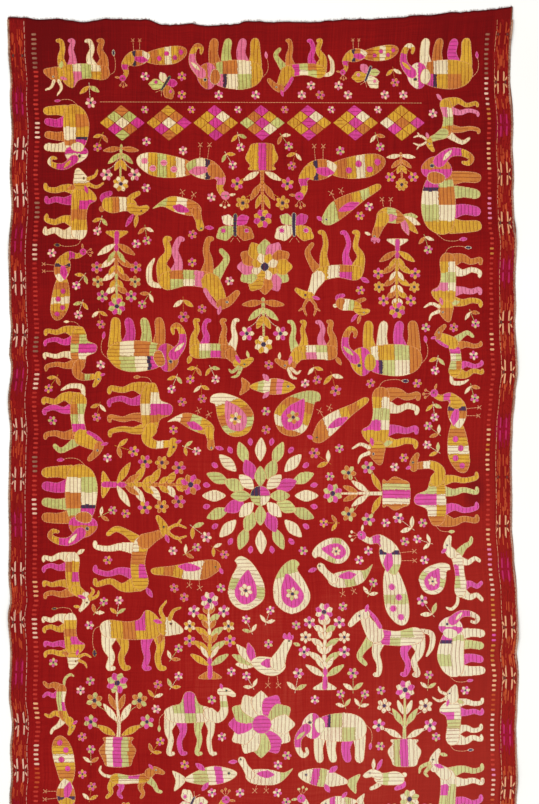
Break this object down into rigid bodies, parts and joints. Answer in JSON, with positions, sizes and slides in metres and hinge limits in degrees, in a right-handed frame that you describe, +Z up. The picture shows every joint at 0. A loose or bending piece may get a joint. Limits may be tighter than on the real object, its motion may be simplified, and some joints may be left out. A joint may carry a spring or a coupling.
{
  "type": "phulkari",
  "caption": "Shawl-sized sheet of red hand-woven cotton laid flat, its face closely worked with silk floss motifs, with woven selvedges and raw uneven ends.",
  "frame": {"origin": "centre of the surface that the cloth lies on, under the middle of its box", "axes": "+X from the left selvedge to the right one, +Y along the cloth to the end that is at the top of the picture, +Z up, out of the embroidered face"},
  "size_m": [1.3174, 2.4994, 0.0059],
  "materials": {
    "red_cotton": "matt coarse hand-woven cotton with slubs",
    "silk_gold": "golden yellow silk floss, loosely twisted, with a soft lustre",
    "silk_orange": "orange silk floss, loosely twisted, with a soft lustre",
    "silk_cream": "cream silk floss, loosely twisted, with a soft lustre",
    "silk_magenta": "magenta silk floss, loosely twisted, with a soft lustre",
    "silk_green": "pale green silk floss, loosely twisted, with a soft lustre",
    "silk_indigo": "indigo silk floss, loosely twisted, with a soft lustre"
  },
  "bodies": {
    "root": {"cloth": "red_cotton"}
  },
  "joints": []
}
